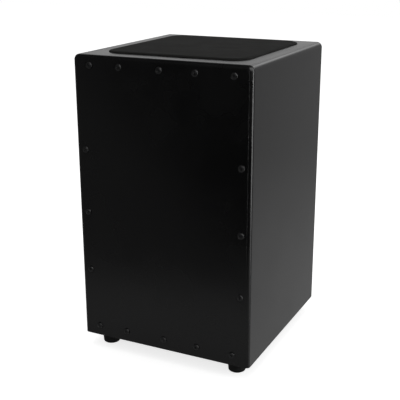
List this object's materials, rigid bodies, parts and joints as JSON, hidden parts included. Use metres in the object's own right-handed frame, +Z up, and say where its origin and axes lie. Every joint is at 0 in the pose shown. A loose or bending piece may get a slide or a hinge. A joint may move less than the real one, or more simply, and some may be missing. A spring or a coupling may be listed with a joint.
{
  "type": "snare cajon",
  "caption": "Upright lacquered plywood box drum on round feet, with a screwed playing surface, a seat pad, a round rear sound hole and a turning bar that presses snare wires on the surface.",
  "frame": {"origin": "on the floor, under the middle of the cajon with its plate screws' heads", "axes": "+Z up, the playing surface faces -Y, +X to the right of someone who looks at the playing surface"},
  "size_m": [0.3, 0.3101, 0.4962],
  "materials": {
    "shell_lacquer": "satin black lacquer on plywood, faint brush and grain marks",
    "plate_lacquer": "satin black lacquer on thin plywood, slightly uneven",
    "raw_wood": "unfinished softwood",
    "hardwood": "oiled beech",
    "pad_rubber": "matte fine-grained foam rubber",
    "black_screw": "black coated steel",
    "foot_rubber": "matte black rubber",
    "zinc_steel": "zinc-plated steel",
    "snare_steel": "bright wire",
    "felt": "pressed felt",
    "knob_plastic": "polished black"
  },
  "bodies": {
    "cajon_body": {"left_side_panel": "shell_lacquer", "right_side_panel": "shell_lacquer", "top_panel": "shell_lacquer", "bottom_panel": "shell_lacquer", "rear_panel": "shell_lacquer", "front_plate": "plate_lacquer", "front_batten_top": "raw_wood", "front_batten_bottom": "raw_wood", "front_batten_left": "raw_wood", "front_batten_right": "raw_wood", "seat_pad": "pad_rubber", "plate_screw_top_1": "black_screw", "plate_screw_top_2": "black_screw", "plate_screw_top_3": "black_screw", "plate_screw_top_4": "black_screw", "plate_screw_top_5": "black_screw", "plate_screw_bottom_1": "black_screw", "plate_screw_bottom_2": "black_screw", "plate_screw_bottom_3": "black_screw", "plate_screw_bottom_4": "black_screw", "plate_screw_bottom_5": "black_screw", "plate_screw_left_1": "black_screw", "plate_screw_left_2": "black_screw", "plate_screw_left_3": "black_screw", "plate_screw_right_1": "black_screw", "plate_screw_right_2": "black_screw", "plate_screw_right_3": "black_screw", "foot_front_left": "foot_rubber", "foot_front_right": "foot_rubber", "foot_rear_left": "foot_rubber", "foot_rear_right": "foot_rubber", "foot_washer_front_left": "zinc_steel", "foot_washer_front_right": "zinc_steel", "foot_washer_rear_left": "zinc_steel", "foot_washer_rear_right": "zinc_steel", "foot_screw_front_left": "zinc_steel", "foot_screw_front_right": "zinc_steel", "foot_screw_rear_left": "zinc_steel", "foot_screw_rear_right": "zinc_steel", "bearing_block_left": "hardwood", "bearing_block_right": "hardwood", "block_screw_left_1": "zinc_steel", "block_screw_left_2": "zinc_steel", "block_screw_right_1": "zinc_steel", "block_screw_right_2": "zinc_steel", "friction_washer_left": "felt", "friction_washer_right": "felt"},
    "snare_bar_assembly": {"snare_bar": "hardwood", "stop_pin": "zinc_steel", "snare_wires_left": "snare_steel", "snare_wires_right": "snare_steel", "clamp_strip_left": "zinc_steel", "clamp_strip_right": "zinc_steel", "clamp_screw_left_1": "zinc_steel", "clamp_screw_left_2": "zinc_steel", "clamp_screw_right_1": "zinc_steel", "clamp_screw_right_2": "zinc_steel", "lever_rod": "zinc_steel", "lever_knob": "knob_plastic"}
  },
  "joints": [
    {"name": "snare_bar_turn", "type": "hinge", "parent": "cajon_body", "child": "snare_bar_assembly", "pos_m": [0, -0.11732, 0.35506], "axis": [-1, 0, 0], "range_deg": [0, 35]}
  ]
}
